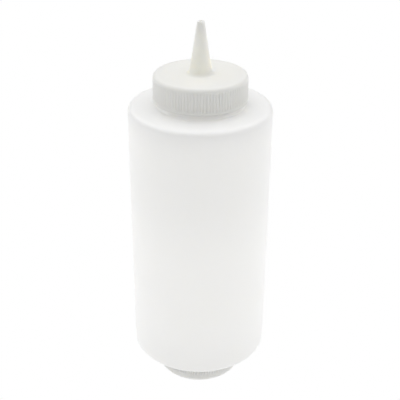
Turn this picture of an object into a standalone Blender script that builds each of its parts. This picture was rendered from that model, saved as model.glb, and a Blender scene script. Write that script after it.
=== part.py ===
"""Two-ended squeeze bottle for sauces, with a cone-tip cap on top and a plain cap as its foot.

Metres, +Z up. The origin is the middle of the foot's underside, on the bottle's axis.
Each cap and its seal are drawn in a frame of their own, whose origin is the middle of the
neck's rim and whose +Z points out of the neck. The bottom set is that frame turned over.
"""

import math

import bmesh
import bpy

MM = 0.001

# Bottle
BODY_RADIUS = 43.0 * MM
BODY_TOP = 189.2 * MM
BODY_BOTTOM = 21.0 * MM
BODY_WALL = 1.1 * MM
SHOULDER_WALL = 1.2 * MM
SHOULDER_ROUND = 3.4 * MM
BASE_ROUND = 2.6 * MM

# Necks
NECK_RADIUS = 25.2 * MM
NECK_BORE = 23.4 * MM
NECK_FLARE = 1.2 * MM
TOP_NECK = 16.0 * MM
BOTTOM_NECK = 17.4 * MM
RIM_CHAMFER = 0.5 * MM
COLLAR_RADIUS = 26.2 * MM
COLLAR_HEIGHT = 3.2 * MM
COLLAR_FILLET = 0.8 * MM
BEAD_RADIUS = 26.9 * MM
BEAD_HEIGHT = 1.0 * MM
GAP = 0.3 * MM

# Threads, right-hand
THREAD_LEAD = 4.23 * MM
NECK_THREAD_START = -9.8 * MM
NECK_THREAD_TURNS = 1.75
NECK_THREAD_PROUD = 0.1 * MM
NECK_THREAD_HALF_WIDTH = 1.1 * MM
CAP_THREAD_OFFSET = -0.5 * THREAD_LEAD
CAP_THREAD_FIRST_TURN = 0.4
CAP_THREAD_TURNS = 1.25
CAP_THREAD_PROUD = 0.1 * MM
CAP_THREAD_HALF_WIDTH = 1.0 * MM
THREAD_POINTS_PER_TURN = 32
THREAD_RUN_OUT = 0.12

# Caps, measured from the neck's rim
SKIRT_BORE = 26.7 * MM
SKIRT_CHAMFER = 0.3 * MM
PLATE_INSIDE = 1.7 * MM
TOP_CAP_RADIUS = 28.3 * MM
TOP_CAP_HEIGHT = 3.3 * MM
TOP_CAP_ROUND = 1.9 * MM
CONE_BASE_RADIUS = 6.6 * MM
CONE_TIP_RADIUS = 2.06 * MM
CONE_TIP = 34.1 * MM
CONE_FILLET = 2.2 * MM
CONE_TIP_CHAMFER = 0.25 * MM
NOZZLE_BASE_RADIUS = 5.6 * MM
NOZZLE_TIP_RADIUS = 1.0 * MM
BOTTOM_CAP_RADIUS = 27.9 * MM
BOTTOM_CAP_ROUND = 5.0 * MM
FOOT_RECESS_RADIUS = 19.0 * MM
FOOT_RECESS_DEPTH = 0.5 * MM

# Seals
SEAL_BORE = 21.6 * MM
TOP_SEAL_RADIUS = 26.2 * MM
BOTTOM_SEAL_RADIUS = 24.8 * MM

SEGMENTS = 48
ARC_STEPS = 3
MERGE_DISTANCE = 0.00001

TOP_RIM = BODY_TOP + TOP_NECK
BOTTOM_RIM = BODY_BOTTOM - BOTTOM_NECK
UPRIGHT = (0.0, 0.0, 0.0)
UPSIDE_DOWN = (math.pi, 0.0, 0.0)


def clear_scene():
    for item in list(bpy.data.objects):
        bpy.data.objects.remove(item, do_unlink=True)


def new_collection(name):
    collection = bpy.data.collections.new(name)
    bpy.context.scene.collection.children.link(collection)
    return collection


def plastic(name, color, roughness):
    """An opaque stand-in for a moulded plastic."""
    material = bpy.data.materials.new(name)
    material.use_nodes = True
    shader = material.node_tree.nodes["Principled BSDF"]
    shader.inputs["Base Color"].default_value = (*color, 1.0)
    shader.inputs["Roughness"].default_value = roughness
    shader.inputs["Metallic"].default_value = 0.0
    return material


def arc(center_r, center_z, radius, start, end):
    """Points of an arc in the profile plane, angles in degrees from the outward radius."""
    points = []
    for step in range(ARC_STEPS + 1):
        angle = math.radians(start + (end - start) * step / ARC_STEPS)
        points.append((center_r + radius * math.cos(angle), center_z + radius * math.sin(angle)))
    return points


def turned(name, profile, closed, location, rotation, material, collection):
    """A profile of (radius, height) points, turned about Z. It runs down its outer side."""
    mesh = bpy.data.meshes.new(name)
    vertices = [(radius, 0.0, height) for radius, height in profile]
    edges = [(i, i + 1) for i in range(len(profile) - 1)]
    if closed:
        edges.append((len(profile) - 1, 0))
    mesh.from_pydata(vertices, edges, [])
    mesh.materials.append(material)
    item = bpy.data.objects.new(name, mesh)
    item.location = location
    item.rotation_euler = rotation
    screw = item.modifiers.new("turn", "SCREW")
    screw.axis = "Z"
    screw.steps = SEGMENTS
    screw.render_steps = SEGMENTS
    screw.use_merge_vertices = True
    screw.merge_threshold = MERGE_DISTANCE
    screw.use_smooth_shade = True
    collection.objects.link(item)
    return item


def thread_ridge(name, radius, half_width, start, first_turn, turns, location, rotation, collection):
    """A right-hand helical ridge whose ends run out, as a mesh that a Boolean can join."""
    curve = bpy.data.curves.new(name, "CURVE")
    curve.dimensions = "3D"
    curve.bevel_depth = half_width
    curve.bevel_resolution = 1
    curve.use_fill_caps = True
    spline = curve.splines.new("POLY")
    count = round(turns * THREAD_POINTS_PER_TURN) + 1
    spline.points.add(count - 1)
    for index, point in enumerate(spline.points):
        turn = first_turn + turns * index / (count - 1)
        angle = math.tau * turn
        from_end = min(turn - first_turn, first_turn + turns - turn)
        swell = min(1.0, from_end / THREAD_RUN_OUT)
        height = start + THREAD_LEAD * turn
        point.co = (radius * math.cos(angle), radius * math.sin(angle), height, 1.0)
        point.radius = 0.35 + 0.65 * math.sin(swell * math.pi / 2)
    rope = bpy.data.objects.new(name + "_curve", curve)
    rope.location = location
    rope.rotation_euler = rotation
    collection.objects.link(rope)
    bpy.context.view_layer.update()
    graph = bpy.context.evaluated_depsgraph_get()
    mesh = bpy.data.meshes.new_from_object(rope.evaluated_get(graph))
    shape = bmesh.new()
    shape.from_mesh(mesh)
    bmesh.ops.remove_doubles(shape, verts=shape.verts, dist=MERGE_DISTANCE)
    shape.to_mesh(mesh)
    shape.free()
    ridge = bpy.data.objects.new(name, mesh)
    ridge.matrix_world = rope.matrix_world.copy()
    bpy.data.objects.remove(rope, do_unlink=True)
    collection.objects.link(ridge)
    ridge.hide_render = True
    ridge.display_type = "WIRE"
    return ridge


def neck_thread(name, location, rotation, collection):
    return thread_ridge(
        name, NECK_RADIUS + NECK_THREAD_PROUD, NECK_THREAD_HALF_WIDTH, NECK_THREAD_START,
        0.0, NECK_THREAD_TURNS, location, rotation, collection,
    )


def cap_thread(name, location, rotation, collection):
    return thread_ridge(
        name, SKIRT_BORE - CAP_THREAD_PROUD, CAP_THREAD_HALF_WIDTH,
        NECK_THREAD_START + CAP_THREAD_OFFSET, CAP_THREAD_FIRST_TURN, CAP_THREAD_TURNS,
        location, rotation, collection,
    )


def join(item, ridge):
    union = item.modifiers.new(ridge.name, "BOOLEAN")
    union.operation = "UNION"
    union.solver = "EXACT"
    union.object = ridge


def end_outside(neck, corner_round):
    """Outer profile of one end of the bottle, from the rim to the wall, above its shoulder."""
    return [
        (NECK_RADIUS - RIM_CHAMFER, neck),
        (NECK_RADIUS, neck - RIM_CHAMFER),
        (NECK_RADIUS, COLLAR_HEIGHT),
        (BEAD_RADIUS, COLLAR_HEIGHT),
        (BEAD_RADIUS, COLLAR_HEIGHT - BEAD_HEIGHT),
        (COLLAR_RADIUS, COLLAR_HEIGHT - BEAD_HEIGHT),
        (COLLAR_RADIUS, COLLAR_FILLET),
        (COLLAR_RADIUS + COLLAR_FILLET, 0.0),
        *arc(BODY_RADIUS - corner_round, -corner_round, corner_round, 90, 0),
    ]


def end_inside(neck, corner_round):
    """Inner profile of one end of the bottle, from the rim to the wall, above its shoulder."""
    inner_round = corner_round - BODY_WALL
    inner_radius = BODY_RADIUS - BODY_WALL
    return [
        (NECK_BORE + RIM_CHAMFER, neck),
        (NECK_BORE, neck - RIM_CHAMFER),
        (NECK_BORE, 0.0),
        (NECK_BORE + NECK_FLARE, -SHOULDER_WALL),
        *arc(inner_radius - inner_round, -SHOULDER_WALL - inner_round, inner_round, 90, 0),
    ]


def bottle_profile():
    def top(points):
        return [(radius, BODY_TOP + height) for radius, height in points]

    def bottom(points):
        return [(radius, BODY_BOTTOM - height) for radius, height in points]

    return [
        *top(end_outside(TOP_NECK, SHOULDER_ROUND)),
        *reversed(bottom(end_outside(BOTTOM_NECK, BASE_ROUND))),
        *bottom(end_inside(BOTTOM_NECK, BASE_ROUND)),
        *reversed(top(end_inside(TOP_NECK, SHOULDER_ROUND))),
    ]


def skirt_end(outer_radius, neck):
    """The lower lip of a cap's skirt, which stops just above the neck's bead."""
    lip = COLLAR_HEIGHT + GAP - neck
    return [
        (outer_radius, lip + SKIRT_CHAMFER),
        (outer_radius - SKIRT_CHAMFER, lip),
        (SKIRT_BORE + SKIRT_CHAMFER, lip),
        (SKIRT_BORE, lip + SKIRT_CHAMFER),
    ]


def top_cap_profile():
    """A closed outline: the nozzle runs right through the cone."""
    return [
        (CONE_TIP_RADIUS - CONE_TIP_CHAMFER, CONE_TIP),
        (CONE_TIP_RADIUS, CONE_TIP - CONE_TIP_CHAMFER),
        (CONE_BASE_RADIUS, TOP_CAP_HEIGHT + CONE_FILLET),
        *arc(CONE_BASE_RADIUS + CONE_FILLET, TOP_CAP_HEIGHT + CONE_FILLET, CONE_FILLET, 190, 270)[1:],
        *arc(TOP_CAP_RADIUS - TOP_CAP_ROUND, TOP_CAP_HEIGHT - TOP_CAP_ROUND, TOP_CAP_ROUND, 90, 0),
        *skirt_end(TOP_CAP_RADIUS, TOP_NECK),
        (SKIRT_BORE, PLATE_INSIDE),
        (NOZZLE_BASE_RADIUS, PLATE_INSIDE),
        (NOZZLE_TIP_RADIUS, CONE_TIP),
    ]


def bottom_cap_profile():
    """An outline from axis to axis: the foot's underside first, then the inside of the cap."""
    foot = BOTTOM_RIM
    round_center = (BOTTOM_CAP_RADIUS - BOTTOM_CAP_ROUND, foot - BOTTOM_CAP_ROUND)
    inner_round = SKIRT_BORE - round_center[0]
    inner_end = math.degrees(math.asin((PLATE_INSIDE - round_center[1]) / inner_round))
    return [
        (0.0, foot - FOOT_RECESS_DEPTH),
        (FOOT_RECESS_RADIUS - FOOT_RECESS_DEPTH, foot - FOOT_RECESS_DEPTH),
        (FOOT_RECESS_RADIUS, foot),
        *arc(*round_center, BOTTOM_CAP_ROUND, 90, 0),
        *skirt_end(BOTTOM_CAP_RADIUS, BOTTOM_NECK),
        *arc(*round_center, inner_round, 0, inner_end),
        (0.0, PLATE_INSIDE),
    ]


def seal_profile(outer_radius):
    return [
        (outer_radius, PLATE_INSIDE - GAP),
        (outer_radius, GAP),
        (SEAL_BORE, GAP),
        (SEAL_BORE, PLATE_INSIDE - GAP),
    ]


def build():
    clear_scene()
    parts = new_collection("squeeze_bottle")
    cutters = new_collection("thread_ridges")

    bottle_plastic = plastic("bottle_plastic", (0.86, 0.86, 0.85), 0.35)
    cap_plastic = plastic("cap_plastic", (0.84, 0.84, 0.81), 0.42)
    seal_foam = plastic("seal_foam", (0.93, 0.93, 0.91), 0.8)

    bottle = turned(
        "bottle", bottle_profile(), True, (0.0, 0.0, 0.0), UPRIGHT, bottle_plastic, parts
    )
    sets = (
        ("top", TOP_RIM, UPRIGHT, top_cap_profile(), True, TOP_SEAL_RADIUS),
        ("bottom", BOTTOM_RIM, UPSIDE_DOWN, bottom_cap_profile(), False, BOTTOM_SEAL_RADIUS),
    )
    for end, rim, rotation, cap_profile, pierced, seal_radius in sets:
        place = (0.0, 0.0, rim)
        join(bottle, neck_thread(end + "_neck_thread", place, rotation, cutters))
        cap = turned(end + "_cap", cap_profile, pierced, place, rotation, cap_plastic, parts)
        join(cap, cap_thread(end + "_cap_thread", place, rotation, cutters))
        turned(
            end + "_seal", seal_profile(seal_radius), True, place, rotation, seal_foam, parts
        )


build()
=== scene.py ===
import math

import bmesh
import bpy
import numpy as np
from mathutils import Matrix, Vector


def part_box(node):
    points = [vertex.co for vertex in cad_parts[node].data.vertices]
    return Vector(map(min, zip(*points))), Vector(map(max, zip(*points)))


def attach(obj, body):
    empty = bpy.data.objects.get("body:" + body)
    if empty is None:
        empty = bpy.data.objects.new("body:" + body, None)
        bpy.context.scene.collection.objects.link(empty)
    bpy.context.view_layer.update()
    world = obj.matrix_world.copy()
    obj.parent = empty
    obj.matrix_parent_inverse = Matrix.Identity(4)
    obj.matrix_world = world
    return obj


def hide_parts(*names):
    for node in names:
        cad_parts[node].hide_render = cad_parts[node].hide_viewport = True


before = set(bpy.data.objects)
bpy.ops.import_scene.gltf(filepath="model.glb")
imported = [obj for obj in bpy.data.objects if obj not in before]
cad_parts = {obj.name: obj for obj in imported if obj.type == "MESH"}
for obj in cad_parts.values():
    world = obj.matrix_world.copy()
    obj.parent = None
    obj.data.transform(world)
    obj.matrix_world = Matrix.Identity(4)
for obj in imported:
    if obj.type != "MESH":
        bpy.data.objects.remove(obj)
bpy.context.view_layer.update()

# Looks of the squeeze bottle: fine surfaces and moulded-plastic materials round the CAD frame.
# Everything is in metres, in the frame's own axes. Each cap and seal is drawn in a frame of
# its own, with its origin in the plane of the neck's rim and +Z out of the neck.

MM = 0.001

# Driving sizes, read from the frame
bottle_low, bottle_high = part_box("bottle")
top_cap_low, top_cap_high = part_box("top_cap")
foot_low, foot_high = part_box("bottom_cap")
top_seal_low, top_seal_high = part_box("top_seal")
_, bottom_seal_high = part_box("bottom_seal")
BODY_RADIUS = bottle_high.x
TOP_RIM = bottle_high.z
BOTTOM_RIM = bottle_low.z
TOP_CAP_RADIUS = top_cap_high.x
TOP_CAP_LIP = top_cap_low.z - TOP_RIM
CONE_TIP = top_cap_high.z - TOP_RIM
FOOT_RADIUS = foot_high.x
FOOT_LIP = BOTTOM_RIM - foot_high.z
FOOT_HEIGHT = BOTTOM_RIM - foot_low.z
SEAL_LOW = top_seal_low.z - TOP_RIM
SEAL_HIGH = top_seal_high.z - TOP_RIM
TOP_SEAL_RADIUS = top_seal_high.x
BOTTOM_SEAL_RADIUS = bottom_seal_high.x

# Bottle
WALL = 1.1 * MM
SHOULDER_WALL = 1.2 * MM
TOP_NECK = 16.0 * MM
BOTTOM_NECK = 17.4 * MM
SHOULDER_ROUND = 3.4 * MM
BASE_ROUND = 2.6 * MM
NECK_RADIUS = 25.2 * MM
NECK_BORE = 23.4 * MM
COLLAR_RADIUS = 26.2 * MM
COLLAR_HEIGHT = 3.2 * MM
BEAD_RADIUS = 26.9 * MM
BEAD_HEIGHT = 1.0 * MM
SEAM_PROUD = 0.06 * MM
SEAM_HALF_WIDTH = 0.25 * MM
WALL_WAVER = 0.10 * MM
WALL_SWELL = 0.25 * MM

# Threads, right-hand
THREAD_LEAD = 4.23 * MM
THREAD_HALF_WIDTH = 1.3 * MM
THREAD_RUN_OUT = 0.12
NECK_THREAD_START = -9.8 * MM
NECK_THREAD_TURNS = 1.75
NECK_THREAD_HEIGHT = 1.2 * MM
CAP_THREAD_START = NECK_THREAD_START - THREAD_LEAD / 2
CAP_THREAD_FIRST_TURN = 0.4
CAP_THREAD_TURNS = 1.25
CAP_THREAD_HEIGHT = 1.1 * MM

# Caps
SKIRT_BORE = 26.7 * MM
PLATE_TOP = 3.3 * MM
PLATE_INSIDE = 1.7 * MM
TOP_CAP_ROUND = 2.4 * MM
FOOT_ROUND = 5.0 * MM
CONE_BASE_RADIUS = 6.85 * MM
CONE_TIP_RADIUS = 2.06 * MM
CONE_FILLET = 2.6 * MM
NOZZLE_BASE_RADIUS = 5.6 * MM
NOZZLE_TIP_RADIUS = 1.0 * MM
RIBS = 98
RIB_DEPTH = 0.45 * MM
CAP_DRAFT = 0.35 * MM
RIB_BAND = 2.1 * MM
RIB_FADE = 0.7 * MM
SEGMENTS_PER_RIB = 6
FOOT_RECESS_RADIUS = 19.0 * MM
FOOT_RECESS_DEPTH = 0.5 * MM
SEAL_BORE = 21.6 * MM

BOTTLE_SEGMENTS = 240
CAP_SEGMENTS = RIBS * SEGMENTS_PER_RIB
SEAL_SEGMENTS = 160
ARC_STEP = math.radians(12)
THREAD_ROW = 0.25 * MM
RIB_ROW = 0.7 * MM
WALL_ROW = 5.0 * MM
PLAIN_ROW = 8.0 * MM


# ---------------------------------------------------------------- outlines


def rounded(corners, closed):
    """Points along an outline of (radius, height, fillet) corners, each fillet drawn as an arc."""
    points = []
    count = len(corners)
    for index, (r, z, fillet) in enumerate(corners):
        at_end = not closed and index in (0, count - 1)
        if fillet == 0 or at_end:
            points.append((r, z))
            continue
        here = Vector((r, z))
        before = (Vector(corners[index - 1][:2]) - here).normalized()
        after = (Vector(corners[(index + 1) % count][:2]) - here).normalized()
        half = before.angle(after) / 2
        center = here + (before + after).normalized() * (fillet / math.sin(half))
        first = here + before * (fillet / math.tan(half)) - center
        last = here + after * (fillet / math.tan(half)) - center
        sweep = first.angle_signed(last)
        steps = max(2, math.ceil(abs(sweep) / ARC_STEP))
        for step in range(steps + 1):
            turned = first.copy()
            turned.rotate(Matrix.Rotation(-sweep * step / steps, 2))
            points.append(tuple(center + turned))
    return points


def divided(points, closed, row_of):
    """The same outline with long stretches cut into rows no longer than row_of(radius, height)."""
    result = []
    pairs = zip(points, points[1:] + points[:1])
    for index, ((r0, z0), (r1, z1)) in enumerate(pairs):
        result.append((r0, z0))
        if not closed and index == len(points) - 1:
            break
        length = math.hypot(r1 - r0, z1 - z0)
        rows = math.ceil(length / row_of((r0 + r1) / 2, (z0 + z1) / 2))
        for row in range(1, rows):
            share = row / rows
            result.append((r0 + (r1 - r0) * share, z0 + (z1 - z0) * share))
    return result


def lathe(name, outline, closed, segments, place, shaped=None):
    """A mesh turned from the outline. shaped(angle, radius, height) may change each point's radius.
    An open outline starts and ends on the axis."""
    angles = np.arange(segments) * math.tau / segments
    rings = outline if closed else outline[1:-1]
    radius = np.repeat(np.array([r for r, _ in rings])[:, None], segments, 1)
    height = np.repeat(np.array([z for _, z in rings])[:, None], segments, 1)
    angle = np.repeat(angles[None, :], len(rings), 0)
    if shaped:
        radius = shaped(angle, radius, height)
    points = np.stack([radius * np.cos(angle), radius * np.sin(angle), height], -1)
    vertices = points.reshape(-1, 3).tolist()
    ring_count = len(rings)
    faces = []
    for i in range(ring_count if closed else ring_count - 1):
        a = i * segments
        b = (i + 1) % ring_count * segments
        for j in range(segments):
            k = (j + 1) % segments
            faces.append((a + j, b + j, b + k, a + k))
    if not closed:
        last = (ring_count - 1) * segments
        first_pole = len(vertices)
        vertices += [(0.0, 0.0, outline[0][1]), (0.0, 0.0, outline[-1][1])]
        for j in range(segments):
            k = (j + 1) % segments
            faces.append((first_pole, j, k))
            faces.append((last + j, first_pole + 1, last + k))
    mesh = bpy.data.meshes.new(name)
    mesh.from_pydata(vertices, [], faces)
    mesh.transform(place)
    shape = bmesh.new()
    shape.from_mesh(mesh)
    bmesh.ops.recalc_face_normals(shape, faces=shape.faces)
    shape.to_mesh(mesh)
    shape.free()
    mesh.shade_smooth()
    mesh.set_sharp_from_angle(angle=math.radians(50))
    item = bpy.data.objects.new(name, mesh)
    bpy.context.scene.collection.objects.link(item)
    return item


def thread(angle, height, start, first_turn, turns):
    """How much of a thread's full height stands at each point: 0 clear of it, 1 on its crest."""
    full = np.zeros_like(angle)
    for extra in range(math.ceil(first_turn + turns) + 1):
        turn = angle / math.tau + extra
        from_end = np.minimum(turn - first_turn, first_turn + turns - turn)
        swell = np.sin(np.clip(from_end / THREAD_RUN_OUT, 0, 1) * math.pi / 2)
        away = np.abs(height - start - THREAD_LEAD * turn) / THREAD_HALF_WIDTH
        crest = np.cos(np.clip(away, 0, 1) * math.pi / 2) ** 2
        full = np.maximum(full, swell * crest)
    return full


# ---------------------------------------------------------------- pieces


def end_corners(neck, corner_round):
    """One end's outer and inner corners, from the rim to the wall, above its shoulder."""
    outer = [
        (NECK_RADIUS, neck, 0.5 * MM),
        (NECK_RADIUS, COLLAR_HEIGHT, 0.25 * MM),
        (BEAD_RADIUS, COLLAR_HEIGHT, 0.35 * MM),
        (BEAD_RADIUS, COLLAR_HEIGHT - BEAD_HEIGHT, 0.3 * MM),
        (COLLAR_RADIUS, COLLAR_HEIGHT - BEAD_HEIGHT, 0.2 * MM),
        (COLLAR_RADIUS, 0.0, 0.8 * MM),
        (BODY_RADIUS, 0.0, corner_round),
    ]
    inner = [
        (NECK_BORE, neck, 0.5 * MM),
        (NECK_BORE, -SHOULDER_WALL, 0.9 * MM),
        (BODY_RADIUS - WALL, -SHOULDER_WALL, corner_round - WALL),
    ]
    return outer, inner


def bottle_outline():
    def top(corners):
        shoulder = TOP_RIM - TOP_NECK
        return [(r, shoulder + z, fillet) for r, z, fillet in corners]

    def bottom(corners):
        shoulder = BOTTOM_RIM + BOTTOM_NECK
        return [(r, shoulder - z, fillet) for r, z, fillet in corners]

    top_outer, top_inner = end_corners(TOP_NECK, SHOULDER_ROUND)
    bottom_outer, bottom_inner = end_corners(BOTTOM_NECK, BASE_ROUND)
    corners = [
        *top(top_outer),
        *reversed(bottom(bottom_outer)),
        *bottom(bottom_inner),
        *reversed(top(top_inner)),
    ]
    return rounded(corners, True)


def bottle_row(radius, height):
    outside_neck = abs(radius - NECK_RADIUS) < 0.1 * MM
    if outside_neck:
        return THREAD_ROW
    on_wall = radius > BODY_RADIUS - 2 * WALL
    return WALL_ROW if on_wall else PLAIN_ROW


def bottle_shape(angle, radius, height):
    """Threads on both necks, the two mould seams, and the slight waver of a blown wall."""
    outside_neck = np.abs(radius - NECK_RADIUS) < 0.1 * MM
    top_thread = thread(angle, height - TOP_RIM, NECK_THREAD_START, 0.0, NECK_THREAD_TURNS)
    bottom_thread = thread(
        (-angle) % math.tau, BOTTOM_RIM - height, NECK_THREAD_START, 0.0, NECK_THREAD_TURNS
    )
    ridge = NECK_THREAD_HEIGHT * np.maximum(top_thread, bottom_thread)
    on_wall = radius > BODY_RADIUS - 1.5 * WALL
    low = BOTTOM_RIM + BOTTOM_NECK
    high = TOP_RIM - TOP_NECK
    along = np.clip((height - low) / (high - low), 0, 1)
    belly = np.sin(along * math.pi)
    waver = belly * (
        0.5 * np.sin(2 * angle + 1.1)
        + 0.3 * np.sin(3 * angle + 5.0 * along)
        + 0.2 * np.sin(5 * angle - 9.0 * along + 0.6)
    )
    across = np.abs(np.sin(angle)) * radius
    seam = np.clip(1 - across / SEAM_HALF_WIDTH, 0, 1) * (radius > BODY_RADIUS - WALL / 2)
    return (
        radius
        + np.where(outside_neck, ridge, 0)
        + np.where(on_wall, WALL_SWELL + WALL_WAVER * waver, 0)
        + np.where(on_wall, SEAM_PROUD * seam * belly, 0)
    )


def cap_thread(angle, radius, height):
    """A cap's inside radius with its thread standing inwards."""
    on_bore = np.abs(radius - SKIRT_BORE) < 0.1 * MM
    ridge = thread(angle, height, CAP_THREAD_START, CAP_THREAD_FIRST_TURN, CAP_THREAD_TURNS)
    return radius - np.where(on_bore, CAP_THREAD_HEIGHT * ridge, 0)


def ribs(angle, radius, height, outer_radius, lip, top):
    """How far the grooves between the ribs go in, from above the plain band up to the edge."""
    on_skirt = radius > outer_radius - 2 * CAP_DRAFT
    low = lip + RIB_BAND
    fade_in = np.clip((height - low) / (0.3 * MM), 0, 1)
    fade_out = np.clip((top - height) / RIB_FADE, 0, 1)
    groove = 0.5 - 0.5 * np.cos(RIBS * angle)
    return np.where(on_skirt, RIB_DEPTH * groove * fade_in * fade_out, 0)


def cap_row(outer_radius, lip):
    def row(radius, height):
        on_bore = abs(radius - SKIRT_BORE) < 0.1 * MM
        if on_bore:
            return THREAD_ROW
        on_skirt = radius > outer_radius - 2 * CAP_DRAFT
        if on_skirt:
            return 0.3 * MM if abs(height - lip - RIB_BAND) < RIB_ROW else RIB_ROW
        return PLAIN_ROW / 2
    return row


def top_cap():
    top = PLATE_TOP
    corners = [
        (CONE_TIP_RADIUS, CONE_TIP, 0.3 * MM),
        (CONE_BASE_RADIUS, top, CONE_FILLET),
        (TOP_CAP_RADIUS - CAP_DRAFT, top, TOP_CAP_ROUND),
        (TOP_CAP_RADIUS, TOP_CAP_LIP, 0.3 * MM),
        (SKIRT_BORE, TOP_CAP_LIP, 0.3 * MM),
        (SKIRT_BORE, PLATE_INSIDE, 0.5 * MM),
        (NOZZLE_BASE_RADIUS, PLATE_INSIDE, 0.5 * MM),
        (NOZZLE_TIP_RADIUS, CONE_TIP, 0.15 * MM),
    ]
    rib_top = top - TOP_CAP_ROUND - 0.1 * MM

    def shaped(angle, radius, height):
        cut = ribs(angle, radius, height, TOP_CAP_RADIUS, TOP_CAP_LIP, rib_top)
        return cap_thread(angle, radius, height) - cut

    outline = divided(rounded(corners, True), True, cap_row(TOP_CAP_RADIUS, TOP_CAP_LIP))
    place = Matrix.Translation((0, 0, TOP_RIM))
    return lathe("cone_tip_cap", outline, True, CAP_SEGMENTS, place, shaped)


def bottom_cap():
    recess = FOOT_HEIGHT - FOOT_RECESS_DEPTH
    inner_round = FOOT_ROUND - (FOOT_RADIUS - SKIRT_BORE)
    corners = [
        (0.0, recess, 0),
        (FOOT_RECESS_RADIUS - 0.4 * MM, recess, 0.25 * MM),
        (FOOT_RECESS_RADIUS, FOOT_HEIGHT, 0.25 * MM),
        (FOOT_RADIUS, FOOT_HEIGHT, FOOT_ROUND),
        (FOOT_RADIUS, FOOT_LIP, 0.3 * MM),
        (SKIRT_BORE, FOOT_LIP, 0.3 * MM),
        (SKIRT_BORE, FOOT_HEIGHT - FOOT_ROUND, 0),
        (SKIRT_BORE - 0.42 * inner_round, PLATE_INSIDE - 0.12 * inner_round, 0.6 * MM),
        (SKIRT_BORE - 0.60 * inner_round, PLATE_INSIDE, 0.6 * MM),
        (0.0, PLATE_INSIDE, 0),
    ]
    rib_top = FOOT_HEIGHT - FOOT_ROUND - 1.5 * MM

    def shaped(angle, radius, height):
        cut = ribs(angle, radius, height, FOOT_RADIUS, FOOT_LIP, rib_top)
        return cap_thread(angle, radius, height) - cut

    outline = divided(rounded(corners, False), False, cap_row(FOOT_RADIUS, FOOT_LIP))
    place = Matrix.Translation((0, 0, BOTTOM_RIM)) @ Matrix.Rotation(math.pi, 4, "X")
    return lathe("filling_cap", outline, False, CAP_SEGMENTS, place, shaped)


def seal_ring(name, outer_radius, place):
    corners = [
        (outer_radius, SEAL_HIGH, 0.3 * MM),
        (outer_radius, SEAL_LOW, 0.3 * MM),
        (SEAL_BORE, SEAL_LOW, 0.3 * MM),
        (SEAL_BORE, SEAL_HIGH, 0.3 * MM),
    ]
    outline = rounded(corners, True)
    return lathe(name, outline, True, SEAL_SEGMENTS, place)


# ---------------------------------------------------------------- materials


class Nodes:
    """A material's node tree, with short calls for the nodes used here."""

    def __init__(self, name):
        self.material = bpy.data.materials.new(name)
        self.material.use_nodes = True
        self.tree = self.material.node_tree
        self.shader = self.tree.nodes["Principled BSDF"]
        self.place = self.tree.nodes.new("ShaderNodeTexCoord").outputs["Object"]

    def link(self, output, target):
        self.tree.links.new(output, target)

    def noise(self, scale, detail, stretch=(1, 1, 1), roughness=0.5):
        mapping = self.tree.nodes.new("ShaderNodeMapping")
        mapping.inputs["Scale"].default_value = stretch
        self.link(self.place, mapping.inputs["Vector"])
        noise = self.tree.nodes.new("ShaderNodeTexNoise")
        noise.inputs["Scale"].default_value = scale
        noise.inputs["Detail"].default_value = detail
        noise.inputs["Roughness"].default_value = roughness
        self.link(mapping.outputs["Vector"], noise.inputs["Vector"])
        return noise.outputs["Fac"]

    def ramp(self, value, low, high, low_at=0.3, high_at=0.7):
        ramp = self.tree.nodes.new("ShaderNodeValToRGB")
        stops = ramp.color_ramp.elements
        stops[0].position = low_at
        stops[0].color = (*low, 1)
        stops[1].position = high_at
        stops[1].color = (*high, 1)
        self.link(value, ramp.inputs["Fac"])
        return ramp.outputs["Color"]

    def spread(self, value, low, high):
        node = self.tree.nodes.new("ShaderNodeMapRange")
        node.inputs["From Min"].default_value = 0.3
        node.inputs["From Max"].default_value = 0.7
        node.inputs["To Min"].default_value = low
        node.inputs["To Max"].default_value = high
        self.link(value, node.inputs["Value"])
        return node.outputs["Result"]

    def sum(self, first, second, share):
        node = self.tree.nodes.new("ShaderNodeMath")
        node.operation = "MULTIPLY_ADD"
        node.inputs[1].default_value = share
        self.link(second, node.inputs[0])
        self.link(first, node.inputs[2])
        return node.outputs["Value"]

    def bump(self, height, distance, strength):
        node = self.tree.nodes.new("ShaderNodeBump")
        node.inputs["Distance"].default_value = distance
        node.inputs["Strength"].default_value = strength
        self.link(height, node.inputs["Height"])
        self.link(node.outputs["Normal"], self.shader.inputs["Normal"])


def translucent_plastic(name, cloudy, clear, roughness, depth, grain):
    """Natural polyethylene: milky, soft inside, with faint flow clouds and a fine moulded grain."""
    nodes = Nodes(name)
    clouds = nodes.noise(22, 3, stretch=(1, 1, 0.35))
    nodes.link(nodes.ramp(clouds, cloudy, clear), nodes.shader.inputs["Base Color"])
    smears = nodes.noise(60, 4, stretch=(1, 1, 0.4))
    nodes.link(nodes.spread(smears, *roughness), nodes.shader.inputs["Roughness"])
    fine = nodes.noise(grain, 2)
    drift = nodes.noise(90, 2)
    nodes.bump(nodes.sum(fine, drift, 2.0), 0.00004, 0.35)
    shader = nodes.shader
    shader.inputs["Subsurface Weight"].default_value = 1.0
    shader.inputs["Subsurface Radius"].default_value = (1.0, 0.98, 0.92)
    shader.inputs["Subsurface Scale"].default_value = depth
    shader.inputs["IOR"].default_value = 1.51
    return nodes.material


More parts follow.
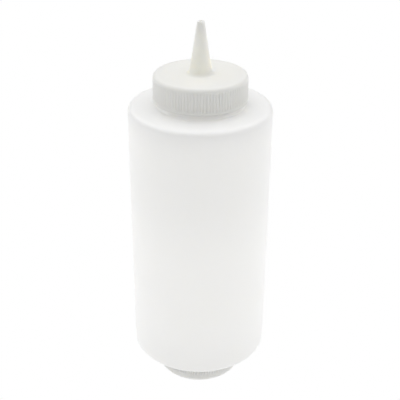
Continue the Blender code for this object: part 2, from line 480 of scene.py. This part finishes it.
def foam(name):
    """The cap liners: white closed-cell foam, matte, with a pitted face."""
    nodes = Nodes(name)
    blotches = nodes.noise(120, 3)
    color = nodes.ramp(blotches, (0.86, 0.86, 0.83), (0.93, 0.93, 0.91))
    nodes.link(color, nodes.shader.inputs["Base Color"])
    nodes.link(nodes.spread(blotches, 0.7, 0.9), nodes.shader.inputs["Roughness"])
    nodes.bump(nodes.noise(2500, 3, roughness=0.7), 0.00006, 0.5)
    nodes.shader.inputs["Subsurface Weight"].default_value = 0.3
    nodes.shader.inputs["Subsurface Radius"].default_value = (1.0, 1.0, 0.95)
    nodes.shader.inputs["Subsurface Scale"].default_value = 0.001
    return nodes.material


def light_table(name):
    """The floor: an evenly lit white sheet, so that the object casts next to no shadow on it. It
    lights the object and takes its shadow, and the camera looks through it, so that the
    underside and the lowered filling cap can be seen."""
    nodes = Nodes(name)
    mottle = nodes.noise(4, 2)
    color = nodes.ramp(mottle, (0.24, 0.24, 0.24), (0.26, 0.26, 0.26))
    nodes.link(color, nodes.shader.inputs["Base Color"])
    nodes.shader.inputs["Roughness"].default_value = 0.9
    nodes.shader.inputs["Specular IOR Level"].default_value = 0.1
    nodes.shader.inputs["Emission Color"].default_value = (1, 1, 1, 1)
    nodes.shader.inputs["Emission Strength"].default_value = FLOOR_GLOW
    return nodes.material


# ---------------------------------------------------------------- camera, light and floor

CAMERA_BACK = 456.0 * MM
CAMERA_UP = 369.1 * MM
CAMERA_ASIDE = 0.09 * MM
CAMERA_PITCH = 28.202
CAMERA_ROLL = 0.329
CAMERA_LENS = 73.82
FLOOR_RADIUS = 3.0
FLOOR_DROP = 0.3 * MM
FLOOR_GLOW = 0.785

# Soft panels of light: the axis of each and its strength. A panel fades in between two cosines
# of the angle from its axis.
PANEL_EDGE = 0.3
PANEL_CORE = 0.95
PANELS = (
    ((0, 0, 1), 0.98),
    ((1, 0, 1), 0.45),
    ((1, 0, 0), 0.10),
    ((1, 1, 0), 0.13),
    ((0, 1, 1), 0.24),
    ((0, 1, 0), 0.03),
)

# Lamps inside the bottle and nozzle: name, height, radius and watts
INSIDE_LAMPS = (
    ("base_glow", 0.050, 0.015, 0.0150),
    ("middle_glow", 0.105, 0.015, 0.0150),
    ("upper_glow", 0.160, 0.015, 0.0002),
    ("collar_glow", 0.195, 0.008, 0.0135),
    ("nozzle_glow", 0.211, 0.002, 0.0018),
    ("cone_glow", 0.226, 0.001, 0.00026),
)
INSIDE_TINT = (1.0, 0.995, 0.975)


def make_camera():
    data = bpy.data.cameras.new("camera")
    data.sensor_width = 36
    data.lens = CAMERA_LENS
    data.clip_start = 0.01
    data.clip_end = 50
    camera = bpy.data.objects.new("camera", data)
    tilt = Matrix.Rotation(math.radians(90 - CAMERA_PITCH), 4, "X")
    roll = Matrix.Rotation(math.radians(CAMERA_ROLL), 4, "Z")
    camera.matrix_world = Matrix.Translation((CAMERA_ASIDE, -CAMERA_BACK, CAMERA_UP)) @ tilt @ roll
    bpy.context.scene.collection.objects.link(camera)
    bpy.context.scene.camera = camera


def make_world():
    """White to the camera. As light, a studio with large soft panels overhead, to the sides and
    behind, and none in front. Each panel is a lobe round an axis, the same to left and right."""
    world = bpy.data.worlds.new("studio")
    bpy.context.scene.world = world
    world.use_nodes = True
    tree = world.node_tree
    tree.nodes.clear()
    direction = tree.nodes.new("ShaderNodeTexCoord").outputs["Generated"]
    split = tree.nodes.new("ShaderNodeSeparateXYZ")
    tree.links.new(direction, split.inputs["Vector"])
    fold = tree.nodes.new("ShaderNodeMath")
    fold.operation = "ABSOLUTE"
    tree.links.new(split.outputs["X"], fold.inputs[0])
    folded = tree.nodes.new("ShaderNodeCombineXYZ")
    tree.links.new(fold.outputs["Value"], folded.inputs["X"])
    tree.links.new(split.outputs["Y"], folded.inputs["Y"])
    tree.links.new(split.outputs["Z"], folded.inputs["Z"])
    total = None
    for axis, strength in PANELS:
        facing = tree.nodes.new("ShaderNodeVectorMath")
        facing.operation = "DOT_PRODUCT"
        facing.inputs[1].default_value = Vector(axis).normalized()
        tree.links.new(folded.outputs["Vector"], facing.inputs[0])
        lobe = tree.nodes.new("ShaderNodeMapRange")
        lobe.interpolation_type = "SMOOTHSTEP"
        lobe.inputs["From Min"].default_value = PANEL_EDGE
        lobe.inputs["From Max"].default_value = PANEL_CORE
        lobe.inputs["To Max"].default_value = strength
        tree.links.new(facing.outputs["Value"], lobe.inputs["Value"])
        if total is None:
            total = lobe.outputs["Result"]
            continue
        add = tree.nodes.new("ShaderNodeMath")
        tree.links.new(total, add.inputs[0])
        tree.links.new(lobe.outputs["Result"], add.inputs[1])
        total = add.outputs["Value"]
    light = tree.nodes.new("ShaderNodeBackground")
    backdrop = tree.nodes.new("ShaderNodeBackground")
    for background in (light, backdrop):
        background.inputs["Color"].default_value = (1, 1, 1, 1)
    tree.links.new(total, light.inputs["Strength"])
    seen = tree.nodes.new("ShaderNodeLightPath").outputs["Is Camera Ray"]
    mix = tree.nodes.new("ShaderNodeMixShader")
    tree.links.new(seen, mix.inputs["Fac"])
    tree.links.new(light.outputs["Background"], mix.inputs[1])
    tree.links.new(backdrop.outputs["Background"], mix.inputs[2])
    output = tree.nodes.new("ShaderNodeOutputWorld")
    tree.links.new(mix.outputs["Shader"], output.inputs["Surface"])


def inside_lamp(name, height, radius, power):
    """A soft lamp on the bottle's axis. It stands for the light that really comes in through the
    far wall, which the renderer's subsurface walk doesn't carry through two walls."""
    data = bpy.data.lights.new(name, "POINT")
    data.energy = power
    data.color = INSIDE_TINT
    data.shadow_soft_size = radius
    lamp = bpy.data.objects.new(name, data)
    lamp.location = (0, 0, height)
    lamp.visible_camera = False
    lamp.visible_glossy = False
    bpy.context.scene.collection.objects.link(lamp)


def make_floor():
    mesh = bpy.data.meshes.new("floor")
    shape = bmesh.new()
    bmesh.ops.create_circle(shape, cap_ends=True, radius=FLOOR_RADIUS, segments=96)
    shape.to_mesh(mesh)
    shape.free()
    floor = bpy.data.objects.new("floor", mesh)
    floor.location = (0, 0, -FLOOR_DROP)
    floor.visible_camera = False
    bpy.context.scene.collection.objects.link(floor)
    mesh.materials.append(light_table("floor_sheet"))


# ---------------------------------------------------------------- the object

bpy.context.scene.view_settings.view_transform = "Standard"
make_camera()
make_world()
for name, height, radius, power in INSIDE_LAMPS:
    inside_lamp(name, height, radius, power)
make_floor()

bottle_plastic = translucent_plastic(
    "bottle_polyethylene", (0.960, 0.957, 0.940), (0.980, 0.978, 0.963), (0.29, 0.37), 0.004, 900
)
# The caps are the same polyethylene as the bottle. Their darker, warmer base colour is painted
# shade for the thick skirt over the neck, which lets less light through than the bottle's thin
# wall.
cap_plastic = translucent_plastic(
    "cap_polyethylene_painted_shade", (0.812, 0.810, 0.786), (0.834, 0.832, 0.808), (0.34, 0.44), 0.0012, 1200
)
seal_foam = foam("liner_foam")

bottle = lathe(
    "bottle_shell", divided(bottle_outline(), True, bottle_row), True, BOTTLE_SEGMENTS,
    Matrix.Identity(4), bottle_shape,
)
upside_down = Matrix.Translation((0, 0, BOTTOM_RIM)) @ Matrix.Rotation(math.pi, 4, "X")
pieces = (
    (bottle, "bottle", "bottle", bottle_plastic, "bottle_plastic"),
    (top_cap(), "top_cap", "top_cap", cap_plastic, "cap_plastic"),
    (bottom_cap(), "bottom_cap", "bottom_cap", cap_plastic, "cap_plastic"),
    (
        seal_ring("top_liner", TOP_SEAL_RADIUS, Matrix.Translation((0, 0, TOP_RIM))),
        "top_seal", "top_seal", seal_foam, "seal_foam",
    ),
    (
        seal_ring("bottom_liner", BOTTOM_SEAL_RADIUS, upside_down),
        "bottom_seal", "bottom_seal", seal_foam, "seal_foam",
    ),
)
for piece, body, node, material, slot in pieces:
    piece.data.materials.append(material)
    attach(piece, body)
    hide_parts(node)
